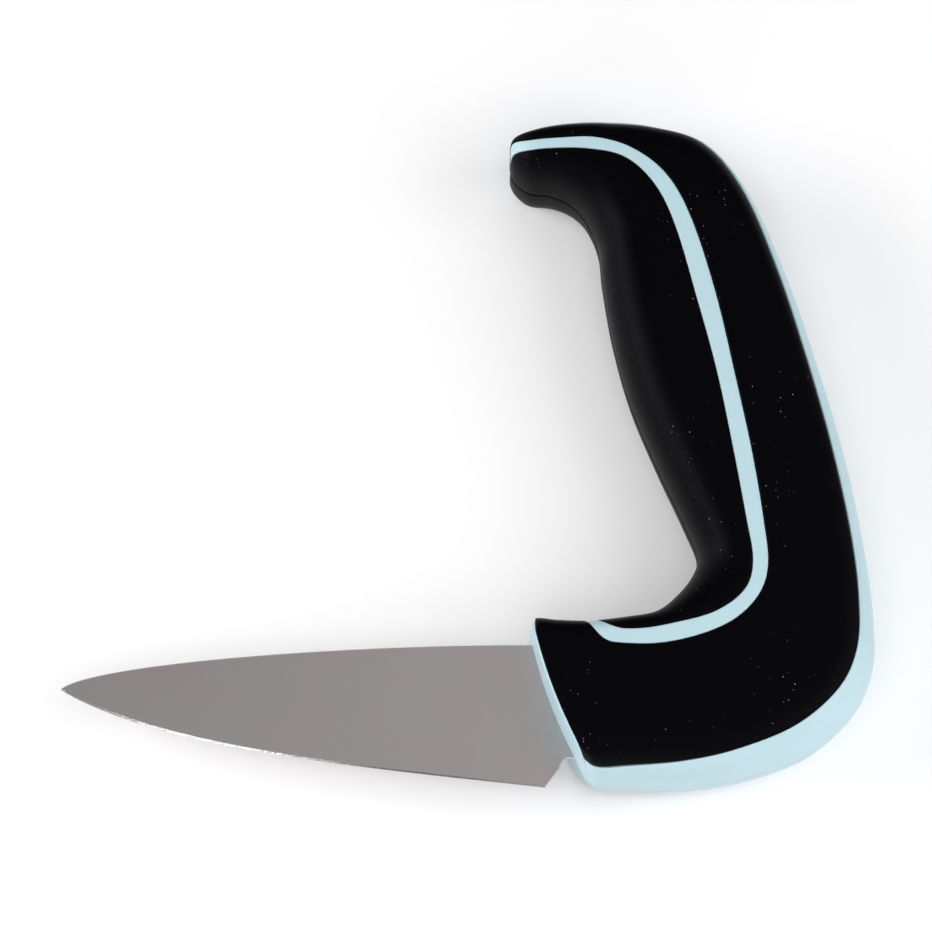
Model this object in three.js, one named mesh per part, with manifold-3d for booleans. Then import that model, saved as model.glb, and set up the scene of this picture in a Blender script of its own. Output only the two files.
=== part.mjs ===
// A vegetable knife with an upright grip, lying on its left side.
// The handle is two moulded halves that clamp the blade's tang on steel pins. Each half is a hard core
// with two soft skins: a side panel, and a grip pad round the front. A rib of the core shows between them.
// Side view: x runs from the blade's tip to the handle's back, y from the cutting edge to the hook, and the
// origin is the front corner of the handle's base. z is the thickness, from the blade's middle plane.
import * as THREE from "three";
import { mergeVertices } from "three/addons/utils/BufferGeometryUtils.js";
import Module from "manifold-3d";

const wasm = await Module();
wasm.setup();

// Handle, in millimetres
const HANDLE_THICKNESS = 27; // across the two flat sides
const HEEL_HEIGHT = 34.1; // base to the top of the heel block
const FINGER_GAP = 98; // heel top to the underside of the hook
const HOOK_DEPTH = 14.3; // underside to the top of the hook
const HOOK_REACH = 15.2; // hook nose ahead of the base's front corner
const BASE_LENGTH = 60.5; // base's front corner to the furthest point of the back
const FRONT_RAKE = 11.8; // how far the front face leans out at the heel top
const THROAT_SETBACK = 4.2; // front of the grip at the throat, behind the base's front corner
const GRIP_LEAN = 19.7; // how much further back the front of the grip is at its foot
const NOSE_ROUND = 6.5; // rounding of the nose, seen from above
const BACK_ROUND = 6; // depth of the rounding from a flat side to the back
const HOOK_ROUND = 4.5; // the same under the hook
const GRIP_ROUND = 11; // the same along the front of the grip
const HEEL_ROUND = 5; // the same on top of the heel
const ROUND_POWER = 2.5; // 2 is an ellipse, higher is squarer
const MOST_FRONT = 0.42; // largest share of a section's width that the front rounding takes
const MOST_BACK = 0.3; // and the back rounding
const MOST_INSET = 0.9; // largest share of a rounding that an inset surface gives up

// Skins and core
const SKIN = 2; // soft skin thickness
const CORE_WALL = 2.8; // hard core wall behind the skin
const FRONT_WALL = 9; // solid core behind the front face
const FRONT_LIP = 1; // core rim in front of the side panel
const FIT_GAP = 0.3; // clearance between pieces that meet
const SKIN_BED = 0.4; // clearance under a skin
const LEAST_PAD = 0.1; // width at which the grip pad's rounded end is cut off

// Blade and tang
const BLADE_LENGTH = 101; // heel corner to tip
const HEEL_SETBACK = 8.5; // heel corner ahead of the base's front corner
const TIP_HEIGHT = 20.8; // tip above the base
const SPINE_DROP = 3.3; // spine below the heel top
const SPINE_THICKNESS = 1.8; // at the handle
const EDGE_THICKNESS = 0.6; // behind the bevel at the heel
const TIP_THICKNESS = 0.6;
const BEVEL = 1; // width of the sharpened bevel
const NOTCH_RADIUS = 2.2; // round notch between the heel and the handle
const NOTCH_TOP = 6.5; // notch apex above the base
const NOTCH_FORWARD = 1.1; // notch centre ahead of the front face
const SPINE_STRAIGHT = 35.4; // length over which the spine leaves the handle straight
const TIP_ROUND = 5.8; // spine's drop to the tip, forward and down
const EDGE_STRAIGHT = 40.7; // length over which the edge leaves the heel straight
const EDGE_RISE = 4.6; // and its rise there
const BELLY_LENGTH = 21.7; // edge's curve up to the tip
const BELLY_DEPTH = 12.8;
const GROUND_DEPTH = 0.5; // how far the ground faces run into the handle
const TANG_START = 0.25; // where the tang's own flat faces begin in there
const TANG_HEIGHT = 15;
const TANG_CORNER = 3.75; // corners cut off the tang's end
const TANG_BACK_MARGIN = 15; // tang end to the handle's back
const PIN_DIAMETER = 4;
const PIN_END_MARGIN = 7; // pin centre to each end of the tang
const PIN_END_WALL = 2; // core material past a pin's end
const BOSS_WALL = 2.6; // core material round a pin or a post
const POST_DIAMETER = 5; // locating posts that join the two halves in the grip
const POST_DEPTH = 5; // how far a post reaches into its socket

// Cutters reach past what they cut
const PAST_SEAM = -1; // past the parting plane
const OUTSIDE = -1.6; // out of the handle's surface
const NOSE_PAST = -1.5; // across the nose's end, in stations

// Facets
const NOSE_ROWS = 4;
const PAD_ROWS = 22;
const PANEL_ROWS = 24;
const TURN_ROWS = 6;
const SKIN_COLUMNS = 6;
const CORE_ROWS = 30;
const FRONT_ROWS = 5;
const CORE_COLUMNS = 18;
const HOLLOW_ROWS = 16;
const HOLLOW_COLUMNS = 9;
const BAR_SIDES = 20;
const EDGE_POINTS = 24;
const SPINE_POINTS = 22;
const NOTCH_POINTS = 6;

// Finishes
const STEEL = { color: 0x9a9694, roughness: 0.35, metalness: 1 };
const CORE_BLUE = { color: 0xbcdbe4, roughness: 0.45, metalness: 0 };
const SOFT_BLACK = { color: 0x0c0c0e, roughness: 0.7, metalness: 0 };

const HALF = HANDLE_THICKNESS / 2;
const HOOK_Y = HEEL_HEIGHT + FINGER_GAP;
const TOP_Y = HOOK_Y + HOOK_DEPTH;
const SEAM = FIT_GAP / 2;
const GRIP_FOOT = THROAT_SETBACK + GRIP_LEAN;
const grip = (share) => HEEL_HEIGHT + share * FINGER_GAP;
const lean = (share) => THROAT_SETBACK + share * GRIP_LEAN;

// Cross-sections of the handle from the hook's nose to its front face. Each has a front point and a back
// point in side view, the depth of the front rounding, the distances from the front to the grip pad's edge
// and to the side panel's edge, and the width of the core's band between the panel and the back.
const STATIONS = [
  [-HOOK_REACH, HOOK_Y + 3, -HOOK_REACH, TOP_Y - 5.2, HOOK_ROUND, 2.1, 4.2, 0.8],
  [0.8 - HOOK_REACH, HOOK_Y + 1.3, 1 - HOOK_REACH, TOP_Y - 3.7, HOOK_ROUND, 3.8, 6.2, 0.9],
  [3.7 - HOOK_REACH, HOOK_Y, 4.7 - HOOK_REACH, TOP_Y - 2.3, HOOK_ROUND, 5.0, 7.4, 1.1],
  [9.2 - HOOK_REACH, HOOK_Y - 0.3, -3, TOP_Y - 0.6, HOOK_ROUND + 0.5, 5.8, 8.3, 1.3],
  [THROAT_SETBACK - 5.8, HOOK_Y - 3.1, 6, TOP_Y, HOOK_ROUND + 2, 8.9, 11.9, 1.4],
  [THROAT_SETBACK - 2.6, HOOK_Y - 7.7, 16.8, TOP_Y - 1.1, GRIP_ROUND - 2, 13.4, 16.1, 1.4],
  [THROAT_SETBACK - 0.3, grip(0.859), BASE_LENGTH - 32.6, TOP_Y - 5.1, GRIP_ROUND, 16.0, 19.5, 1.5],
  [lean(0.025), grip(0.779), BASE_LENGTH - 23.6, TOP_Y - 16.5, GRIP_ROUND, 17.7, 21.7, 1.8],
  [lean(0.132), grip(0.643), BASE_LENGTH - 16.1, grip(0.787), GRIP_ROUND, 18.4, 22.7, 2.6],
  [lean(0.315), grip(0.5), BASE_LENGTH - 9.8, grip(0.572), GRIP_ROUND, 18.0, 21.7, 3.1],
  [lean(0.59), grip(0.358), BASE_LENGTH - 4.7, grip(0.363), GRIP_ROUND, 15.3, 19.2, 3.5],
  [lean(0.858), grip(0.235), BASE_LENGTH - 1.4, grip(0.164), GRIP_ROUND, 12.5, 16.3, 3.6],
  [GRIP_FOOT, grip(0.158), BASE_LENGTH, grip(0.015), GRIP_ROUND, 11.5, 14.9, 4.2],
  [GRIP_FOOT - 1.1, grip(0.11), BASE_LENGTH - 0.5, HEEL_HEIGHT - 10, GRIP_ROUND - 1, 11.6, 14.7, 4.9],
  [GRIP_FOOT - 4.7, grip(0.061), BASE_LENGTH - 4.8, HEEL_HEIGHT - 19, GRIP_ROUND - 3, 9.7, 13.5, 5],
  [GRIP_FOOT - 9.5, grip(0.022), BASE_LENGTH - 14.3, HEEL_HEIGHT - 27.3, HEEL_ROUND + 1, 6.2, 10.7, 5],
  [GRIP_FOOT - 15.9, HEEL_HEIGHT + 0.8, BASE_LENGTH - 27.5, 1.9, HEEL_ROUND, 4.9, 9.0, 4.2],
  [12.3 - FRONT_RAKE, HEEL_HEIGHT, 21, 0, HEEL_ROUND, 3.6, 6.2, 3.3],
  [5.8 - FRONT_RAKE, HEEL_HEIGHT + 0.2, 9, 0, HEEL_ROUND, 3.6, 6.2, 2.2],
  [1.3 - FRONT_RAKE, HEEL_HEIGHT + 0.6, 2.6, 0, HEEL_ROUND, 3.6, 6.2, 1.9],
  [0.3 - FRONT_RAKE, HEEL_HEIGHT - 0.6, -0.6, 1.9, HEEL_ROUND, 3.6, 6.2, 1.8],
];
const LAST = STATIONS.length - 1;

// Places along the handle, as stations
const NOSE_BEND = 2; // the nose's own rows end here
const NOSE_FADE = 3; // an inset no longer moves the nose's end here
const NOSE_STATIONS = 4; // the hook has its full thickness from here on
const HOLLOW_START = 5.2; // the grip is hollow from the throat on
const POST_STATIONS = [7, 10.5];
const PAD_END = 16.6; // the grip pad ends on the heel top
const PANEL_TURN_END = 17.1; // the side panel reaches the heel top
const STRIPE_TURN = 0.45; // the rib turns up over the heel top within this
const FRONT_BEND = LAST - 2; // the front face's own rows begin here
const BAND_START = 0.4; // the core's band begins on top of the nose
const BAND_RISE = 1; // and comes to its full width within this

const column = (a, b) => new THREE.SplineCurve(STATIONS.map((row) => new THREE.Vector2(row[a], row[b])));
const FRONT_LINE = column(0, 1);
const BACK_LINE = column(2, 3);
const ROUND_AND_BAND = column(4, 7);
const SKIN_EDGES = column(5, 6);

// One cross-section at station t: its front point, the direction to the back, its width and roundings.
function sectionAt(t) {
  const u = THREE.MathUtils.clamp(t / LAST, 0, 1);
  const front = FRONT_LINE.getPoint(u);
  const along = BACK_LINE.getPoint(u).sub(front);
  const width = along.length();
  return {
    front,
    along: along.normalize(),
    width,
    frontRound: Math.min(ROUND_AND_BAND.getPoint(u).x, MOST_FRONT * width),
    backRound: Math.min(BACK_ROUND, MOST_BACK * width),
  };
}

// Half the handle's thickness at station t. The nose is rounded in plan, and for t from 0 to -1 the
// surface crosses the nose's flat end to the seam.
function halfThickness(t) {
  if (t < 0) return (HALF - NOSE_ROUND) * (1 + t);
  const fromEnd = FRONT_LINE.getPoint(t / LAST).x + HOOK_REACH;
  const left = 1 - Math.min(fromEnd / NOSE_ROUND, 1);
  return t > NOSE_STATIONS ? HALF : HALF - NOSE_ROUND * (1 - Math.sqrt(1 - left * left));
}

// A point of one half's surface, sunk by an inset. s runs from the seam at the front (0) round to the flat
// side (1 to 2) and on to the seam at the back (3). seam is the height of the parting plane.
function surfacePoint(t, s, inset, seam) {
  const { front, along, width, frontRound, backRound } = sectionAt(t);
  const half = Math.max(halfThickness(t) - inset, seam);
  const angle = (Math.min(s, 1, 3 - s) * Math.PI) / 2;
  const bulge = 1 - Math.cos(angle) ** (2 / ROUND_POWER);
  const rise = s >= 1 && s <= 2 ? 1 : Math.sin(angle) ** (2 / ROUND_POWER);
  const frontInset = Math.min(inset, MOST_INSET * frontRound);
  const backInset = Math.min(inset, MOST_INSET * backRound);
  let w = frontInset + (frontRound - frontInset) * bulge;
  if (s > 1) w = THREE.MathUtils.lerp(frontRound, width - backRound, Math.min(s - 1, 1));
  if (s > 2) w = width - backInset - (backRound - backInset) * bulge;
  const noseShift = inset * THREE.MathUtils.clamp(1 - t / NOSE_FADE, 0, 1);
  return new THREE.Vector3(
    front.x + along.x * w + noseShift,
    front.y + along.y * w,
    seam + (half - seam) * rise,
  );
}

// The s of a point that lies a distance w behind the front outline, in side view.
function acrossAt(t, w) {
  const { width, frontRound, backRound } = sectionAt(t);
  const turn = (share) => (Math.acos(Math.min(Math.max(share, 0), 1) ** (ROUND_POWER / 2)) * 2) / Math.PI;
  if (w < frontRound) return turn(1 - w / frontRound);
  if (w > width - backRound) return 3 - turn(1 - (width - w) / backRound);
  return 1 + (w - frontRound) / (width - backRound - frontRound);
}

// 1 up to the start of a quarter-round turn, then down to 0 at its end.
function quarterTurn(t, end, length) {
  const past = THREE.MathUtils.clamp((t - end + length) / length, 0, 1);
  return Math.sqrt(1 - past * past);
}

const skinEdges = (t) => SKIN_EDGES.getPoint(THREE.MathUtils.clamp(t / LAST, 0, 1));
const padEdge = (t, end) => skinEdges(t).x * quarterTurn(t, end, STRIPE_TURN);
const panelEdge = (t, end) => skinEdges(t).y * quarterTurn(t, end, STRIPE_TURN);
const bandWidth = (t) =>
  ROUND_AND_BAND.getPoint(THREE.MathUtils.clamp(t / LAST, 0, 1)).y *
  quarterTurn(-t, -BAND_START, BAND_RISE);

const spread = (from, to, count) =>
  Array.from({ length: count + 1 }, (_, i) => from + ((to - from) * i) / count);
const easedSpread = (from, to, count) =>
  spread(0, Math.PI / 2, count).map((a) => from + (to - from) * Math.sin(a));

// Triangles of a grid of points, rows by columns.
function gridTriangles(points, triangles, flip) {
  for (let i = 0; i + 1 < points.length; i++)
    for (let j = 0; j + 1 < points[i].length; j++) {
      const [a, b, c, d] = [points[i][j], points[i][j + 1], points[i + 1][j + 1], points[i + 1][j]];
      triangles.push(...(flip ? [a, c, b, a, d, c] : [a, b, c, a, c, d]));
    }
}

// A closed shell between an outer and an inner grid of points of the same size.
function shell(outer, inner) {
  const triangles = [];
  const last = outer.length - 1;
  const side = (pick) => [outer.map(pick), inner.map(pick)];
  gridTriangles(outer, triangles, false);
  gridTriangles(inner, triangles, true);
  gridTriangles(side((row) => row[0]), triangles, false);
  gridTriangles(side((row) => row[row.length - 1]), triangles, true);
  gridTriangles([outer[0], inner[0]], triangles, true);
  gridTriangles([outer[last], inner[last]], triangles, false);
  return solid(new THREE.BufferGeometry().setFromPoints(triangles));
}

// A manifold solid from a closed geometry, turned outwards.
function solid(geometry) {
  const bare = new THREE.BufferGeometry().setAttribute("position", geometry.getAttribute("position"));
  if (geometry.index) bare.setIndex(geometry.index);
  const merged = mergeVertices(bare.index ? bare.toNonIndexed() : bare, 1e-4);
  const vertProperties = merged.getAttribute("position").array;
  const triVerts = Uint32Array.from(merged.index.array);
  const made = new wasm.Manifold(new wasm.Mesh({ numProp: 3, vertProperties, triVerts }));
  if (made.volume() > 0) return made;
  return new wasm.Manifold(new wasm.Mesh({ numProp: 3, vertProperties, triVerts: triVerts.reverse() }));
}

function geometryOf(made) {
  const mesh = made.getMesh();
  const geometry = new THREE.BufferGeometry();
  geometry.setAttribute("position", new THREE.BufferAttribute(mesh.vertProperties, 3));
  geometry.setIndex(new THREE.BufferAttribute(mesh.triVerts, 1));
  return geometry;
}

// A skin, or the pocket that takes it: between the s limits from and to on each row, outer to inner inset.
function skinSolid(rows, from, to, outerInset, innerInset, seam) {
  const grid = (inset) =>
    rows.map((t) =>
      spread(from(t), to(t), SKIN_COLUMNS).map((s) => surfacePoint(t, s, inset, seam)),
    );
  return shell(grid(outerInset), grid(innerInset));
}

// The half handle between two stations, or its hollow, as a closed loft.
function halfLoft(rows, columns, inset, seam) {
  const rings = rows.map((t) => spread(0, 3, columns).map((s) => surfacePoint(t, s, inset, seam)));
  const triangles = [];
  const end = rings.length - 1;
  gridTriangles(rings, triangles, false);
  gridTriangles(rings.map((ring) => [ring[columns], ring[0]]), triangles, false);
  for (let j = 1; j < columns; j++) {
    triangles.push(rings[0][0], rings[0][j + 1], rings[0][j]);
    triangles.push(rings[end][0], rings[end][j], rings[end][j + 1]);
  }
  return solid(new THREE.BufferGeometry().setFromPoints(triangles));
}

// A round bar across the handle at a point of the side view, from one z to another.
function crossBar(at, diameter, fromZ, toZ) {
  const bar = new THREE.CylinderGeometry(diameter / 2, diameter / 2, toZ - fromZ, BAR_SIDES);
  bar.rotateX(Math.PI / 2);
  bar.translate(at.x, at.y, (fromZ + toZ) / 2);
  return solid(bar);
}

// A flat plate from an outline in side view, centred on the blade's plane.
function plate(outline, thickness) {
  const made = new THREE.ExtrudeGeometry(new THREE.Shape(outline), {
    depth: thickness,
    bevelEnabled: false,
  });
  made.translate(0, 0, -thickness / 2);
  return solid(made);
}

// The station that lies a distance behind another one on the front outline.
function stationBehind(from, distance) {
  const start = FRONT_LINE.getPoint(from / LAST);
  let t = from;
  while (FRONT_LINE.getPoint(t / LAST).distanceTo(start) < distance) t -= 0.005;
  return t;
}

// Skins of the right half, and the pockets for them, which are larger by half the fit gap all round
const rowsToTurn = (start, end, count) => [
  ...spread(start, 0, 2),
  ...easedSpread(0, NOSE_BEND, NOSE_ROWS).slice(1),
  ...spread(NOSE_BEND, end - STRIPE_TURN, count).slice(1),
  ...easedSpread(end - STRIPE_TURN, end, TURN_ROWS).slice(1),
];

function gripPad(grow, start, outer, inner, seam) {
  const end = stationBehind(PAD_END, FIT_GAP / 2 - grow);
  const to = (t) => acrossAt(t, Math.max(padEdge(t, end), LEAST_PAD) + grow);
  return skinSolid(rowsToTurn(start, end, PAD_ROWS), () => 0, to, outer, inner, seam);
}

function sidePanel(grow, start, outer, inner, seam) {
  const turnEnd = stationBehind(PANEL_TURN_END, FIT_GAP / 2 + grow);
  const stop = stationBehind(LAST, FRONT_LIP - grow);
  const frontRows = spread(turnEnd, stop, TURN_ROWS).slice(1);
  const rows = [...rowsToTurn(start, turnEnd, PANEL_ROWS), ...frontRows];
  const from = (t) => acrossAt(t, Math.max(panelEdge(t, turnEnd) - grow, 0));
  const to = (t) => acrossAt(t, sectionAt(t).width - Math.max(bandWidth(t) - grow, 0));
  return skinSolid(rows, from, to, outer, inner, seam);
}

const padSkin = gripPad(-FIT_GAP / 2, -1, 0, SKIN, SEAM);
const panelSkin = sidePanel(-FIT_GAP / 2, -1, 0, SKIN, SEAM);
const padPocket = gripPad(FIT_GAP / 2, NOSE_PAST, OUTSIDE, SKIN + SKIN_BED, PAST_SEAM);
const panelPocket = sidePanel(FIT_GAP / 2, NOSE_PAST, OUTSIDE, SKIN + SKIN_BED, PAST_SEAM);

// Places of the tang, its pins and the locating posts
const frontFaceX = (y) => (-FRONT_RAKE * y) / HEEL_HEIGHT;
const tangY = (NOTCH_TOP + HEEL_HEIGHT - SPINE_DROP) / 2;
const tangEnd = BASE_LENGTH - TANG_BACK_MARGIN;
const pinPlaces = [
  new THREE.Vector2(frontFaceX(tangY) + FRONT_WALL + PIN_END_MARGIN, tangY),
  new THREE.Vector2(tangEnd - PIN_END_MARGIN, tangY),
];
const postPlaces = POST_STATIONS.map((t) => {
  const { front, along, width } = sectionAt(t);
  return front.clone().addScaledVector(along, width / 2);
});

// The blade: two faces ground to planes, a flat spine, a sharp bevelled edge, a notch and a tang
const tip = new THREE.Vector2(-HEEL_SETBACK - BLADE_LENGTH, TIP_HEIGHT);
const heel = new THREE.Vector2(-HEEL_SETBACK, 0);
const spineY = HEEL_HEIGHT - SPINE_DROP;
const spineRoot = new THREE.Vector2(frontFaceX(spineY), spineY);
const shifted = (from, dx, dy) => new THREE.Vector2(from.x + dx, from.y + dy);
const spineCurve = new THREE.CubicBezierCurve(
  spineRoot,
  shifted(spineRoot, -SPINE_STRAIGHT, 0),
  shifted(tip, TIP_ROUND, TIP_ROUND),
  tip,
);
const edgeCurve = new THREE.CubicBezierCurve(
  tip,
  shifted(tip, BELLY_LENGTH, -BELLY_DEPTH),
  shifted(heel, -EDGE_STRAIGHT, EDGE_RISE),
  heel,
);

// Half the blade's thickness on the plane through its three stated thicknesses.
const grindPlane = new THREE.Plane().setFromCoplanarPoints(
  new THREE.Vector3(spineRoot.x, spineRoot.y, SPINE_THICKNESS / 2),
  new THREE.Vector3(tip.x, tip.y, TIP_THICKNESS / 2),
  new THREE.Vector3(heel.x, heel.y, EDGE_THICKNESS / 2),
);
const bladeZ = (p) =>
  -(grindPlane.normal.x * p.x + grindPlane.normal.y * p.y + grindPlane.constant) / grindPlane.normal.z;

const notchCentre = new THREE.Vector2(frontFaceX(NOTCH_TOP) - NOTCH_FORWARD, NOTCH_TOP - NOTCH_RADIUS);
const neckDepth = FRONT_WALL - FIT_GAP;
const neckBack = (y) => frontFaceX(y) + neckDepth;

function bladeSolid() {
  const edge = edgeCurve.getPoints(EDGE_POINTS);
  const inner = edge.slice(1, -1).map((p, i) => {
    const along = edge[i + 2].clone().sub(edge[i]).normalize();
    return shifted(p, -along.y * BEVEL, along.x * BEVEL);
  });
  const notchStart = shifted(notchCentre, -NOTCH_RADIUS, 0);
  const heelUp = notchStart.clone().sub(heel).normalize();
  inner.push(heel.clone().addScaledVector(heelUp, BEVEL));
  const spine = spineCurve.getPoints(SPINE_POINTS);
  const faceTip = spine.pop().lerp(spine[spine.length - 1], BEVEL / (2 * TIP_ROUND));
  const notch = spread(Math.PI, Math.PI / 2, NOTCH_POINTS).map((a) =>
    shifted(notchCentre, NOTCH_RADIUS * Math.cos(a), NOTCH_RADIUS * Math.sin(a)),
  );
  const around = [
    ...notch,
    new THREE.Vector2(frontFaceX(NOTCH_TOP) + GROUND_DEPTH, NOTCH_TOP),
    new THREE.Vector2(frontFaceX(spineY) + GROUND_DEPTH, spineY),
    ...spine,
    faceTip,
  ];
  const contour = [...inner, ...around];
  const up = (p) => new THREE.Vector3(p.x, p.y, bladeZ(p));
  const down = (p) => new THREE.Vector3(p.x, p.y, -bladeZ(p));
  const sharp = edge.map((p) => new THREE.Vector3(p.x, p.y, 0));
  const triangles = [];
  for (const [a, b, c] of THREE.ShapeUtils.triangulateShape(contour, [])) {
    triangles.push(up(contour[a]), up(contour[b]), up(contour[c]));
    triangles.push(down(contour[a]), down(contour[c]), down(contour[b]));
  }
  const walls = [inner[inner.length - 1], ...around];
  gridTriangles([walls.map(down), walls.map(up)], triangles, false);
  const bevel = [faceTip, ...inner];
  gridTriangles([bevel.map(down), sharp], triangles, false);
  gridTriangles([sharp, bevel.map(up)], triangles, false);
  const tail = sharp.length - 1;
  triangles.push(up(bevel[0]), down(bevel[0]), sharp[0]);
  triangles.push(down(bevel[tail]), up(bevel[tail]), sharp[tail]);
  return solid(new THREE.BufferGeometry().setFromPoints(triangles));
}

// The tang's outline behind the front face, grown by a clearance for its seat in the cores.
function tangOutline(grow, start) {
  const low = tangY - TANG_HEIGHT / 2 - grow;
  const high = tangY + TANG_HEIGHT / 2 + grow;
  const neckLow = NOTCH_TOP - grow;
  const neckHigh = spineY + grow;
  const end = tangEnd + grow;
  return [
    new THREE.Vector2(frontFaceX(neckLow) + start, neckLow),
    new THREE.Vector2(neckBack(neckLow) + grow, neckLow),
    new THREE.Vector2(neckBack(low) + grow, low),
    new THREE.Vector2(end - TANG_CORNER, low),
    new THREE.Vector2(end, low + TANG_CORNER),
    new THREE.Vector2(end, high - TANG_CORNER),
    new THREE.Vector2(end - TANG_CORNER, high),
    new THREE.Vector2(neckBack(high) + grow, high),
    new THREE.Vector2(neckBack(neckHigh) + grow, neckHigh),
    new THREE.Vector2(frontFaceX(neckHigh) + start, neckHigh),
  ];
}

const pinHole = PIN_DIAMETER + 2 * FIT_GAP;
let blade = bladeSolid().add(plate(tangOutline(0, TANG_START), SPINE_THICKNESS));
for (const at of pinPlaces) {
  blade = blade.subtract(crossBar(at, pinHole, -SPINE_THICKNESS, SPINE_THICKNESS));
}

// Core halves: the loft less its skin pockets and its hollow, with bosses for the pins and posts
const coreInset = SKIN + SKIN_BED + CORE_WALL;
const bossTop = HALF - coreInset + CORE_WALL / 2;
const pinReach = bossTop - PIN_END_WALL;
const hollowEnd = stationBehind(LAST, FRONT_WALL);
const coreRows = [
  ...easedSpread(0, NOSE_BEND, NOSE_ROWS),
  ...spread(NOSE_BEND, FRONT_BEND, CORE_ROWS).slice(1),
  ...spread(FRONT_BEND, LAST, FRONT_ROWS).slice(1),
];
const bossSize = pinHole + 2 * BOSS_WALL;
const postBossSize = POST_DIAMETER + 2 * FIT_GAP + 2 * BOSS_WALL;

function coreHalf() {
  let core = halfLoft(coreRows, CORE_COLUMNS, 0, SEAM);
  core = core.subtract(padPocket).subtract(panelPocket);
  const hollowRows = spread(HOLLOW_START, hollowEnd, HOLLOW_ROWS);
  core = core.subtract(halfLoft(hollowRows, HOLLOW_COLUMNS, coreInset, PAST_SEAM));
  for (const at of pinPlaces) core = core.add(crossBar(at, bossSize, SEAM, bossTop));
  for (const at of postPlaces) core = core.add(crossBar(at, postBossSize, SEAM, bossTop));
  core = core.subtract(plate(tangOutline(FIT_GAP, -FRONT_LIP), SPINE_THICKNESS + 2 * FIT_GAP));
  for (const at of pinPlaces) core = core.subtract(crossBar(at, pinHole, PAST_SEAM, pinReach + FIT_GAP));
  return core;
}

const plainCore = coreHalf();
let socketCore = plainCore;
let postCore = plainCore;
for (const at of postPlaces) {
  const socket = crossBar(at, POST_DIAMETER + 2 * FIT_GAP, PAST_SEAM, SEAM + POST_DEPTH + FIT_GAP);
  socketCore = socketCore.subtract(socket);
  postCore = postCore.add(crossBar(at, POST_DIAMETER, SEAM - FIT_GAP - POST_DEPTH, 2 * SEAM));
}

// Assembly: the left half mirrors the right one in the blade's plane
const knife = new THREE.Group();
function piece(name, made, finish, mirrored = false) {
  const mesh = new THREE.Mesh(geometryOf(made), new THREE.MeshStandardMaterial(finish));
  mesh.name = name;
  if (mirrored) mesh.scale.z = -1;
  knife.add(mesh);
}
piece("blade", blade, STEEL);
piece("core_right", socketCore, CORE_BLUE);
piece("core_left", postCore, CORE_BLUE, true);
piece("side_panel_right", panelSkin, SOFT_BLACK);
piece("side_panel_left", panelSkin, SOFT_BLACK, true);
piece("grip_pad_right", padSkin, SOFT_BLACK);
piece("grip_pad_left", padSkin, SOFT_BLACK, true);
piece("tang_pin_front", crossBar(pinPlaces[0], PIN_DIAMETER, -pinReach, pinReach), STEEL);
piece("tang_pin_rear", crossBar(pinPlaces[1], PIN_DIAMETER, -pinReach, pinReach), STEEL);

// The frame's origin is the middle of the box's underside, where the knife lies on its left side.
const box = new THREE.Box3().setFromObject(knife);
const middle = box.getCenter(new THREE.Vector3());
for (const mesh of knife.children) mesh.position.set(-middle.x, -middle.y, -box.min.z);

export default knife;
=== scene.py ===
# %% [markdown]
# # A vegetable knife with an upright grip
# The knife lies on its side on a white table. Its handle is a pale blue core of hard plastic, moulded in
# two halves, with soft black rubber skins on both sides and round the front of the grip. The blade is satin
# steel. Solids of its parts come with the frame and could simply be coloured, but their edges are plain. So
# skins, core halves and blade are worked out again as fine surfaces with numpy, from the same sizes, with
# the rolled edges and seams that the eye looks for.

import bmesh
import bpy
import numpy as np
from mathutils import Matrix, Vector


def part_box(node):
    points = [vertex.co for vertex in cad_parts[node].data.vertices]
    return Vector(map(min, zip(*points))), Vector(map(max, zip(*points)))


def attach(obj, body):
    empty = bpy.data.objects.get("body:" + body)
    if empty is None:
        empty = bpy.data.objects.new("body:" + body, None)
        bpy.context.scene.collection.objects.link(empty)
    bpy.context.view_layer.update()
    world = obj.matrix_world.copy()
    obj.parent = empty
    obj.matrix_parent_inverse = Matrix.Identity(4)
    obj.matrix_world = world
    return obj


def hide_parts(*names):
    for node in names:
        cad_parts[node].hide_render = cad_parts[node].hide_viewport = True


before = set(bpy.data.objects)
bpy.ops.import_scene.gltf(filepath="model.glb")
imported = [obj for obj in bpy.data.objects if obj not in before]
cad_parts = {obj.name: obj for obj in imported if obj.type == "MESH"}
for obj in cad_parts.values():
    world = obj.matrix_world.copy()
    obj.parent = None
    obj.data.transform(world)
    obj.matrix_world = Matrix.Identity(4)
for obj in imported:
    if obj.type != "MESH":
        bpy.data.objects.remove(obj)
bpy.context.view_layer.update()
MM = 0.001
print("parts:", sorted(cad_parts))

# %% [markdown]
# ## The camera
# The photograph looks down on the knife from the side of the cutting edge, a little off the vertical. A
# short lens from close by would bend the outline. So a long one stands three quarters of a metre away,
# which keeps the view almost free of perspective.

# %% Camera
CAMERA_TILT = np.radians(17.5)
CAMERA_DISTANCE = 0.75
VIEW_WIDTH = 0.1985
SENSOR = 36.0
CLIP_START = 0.01
AIM = np.array([-0.00034, -0.0033, 0.0135])

to_camera = np.array([0, -np.sin(CAMERA_TILT), np.cos(CAMERA_TILT)])
camera = bpy.data.objects.new("camera", bpy.data.cameras.new("camera"))
camera.data.sensor_width = SENSOR
camera.data.lens = SENSOR * CAMERA_DISTANCE / VIEW_WIDTH
camera.data.clip_start = CLIP_START
camera.location = AIM + CAMERA_DISTANCE * to_camera
camera.rotation_euler = (CAMERA_TILT, 0, 0)
bpy.context.collection.objects.link(camera)
bpy.context.scene.camera = camera
bpy.context.scene.view_settings.view_transform = "Standard"
print("lens", round(camera.data.lens, 1), "mm")

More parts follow.
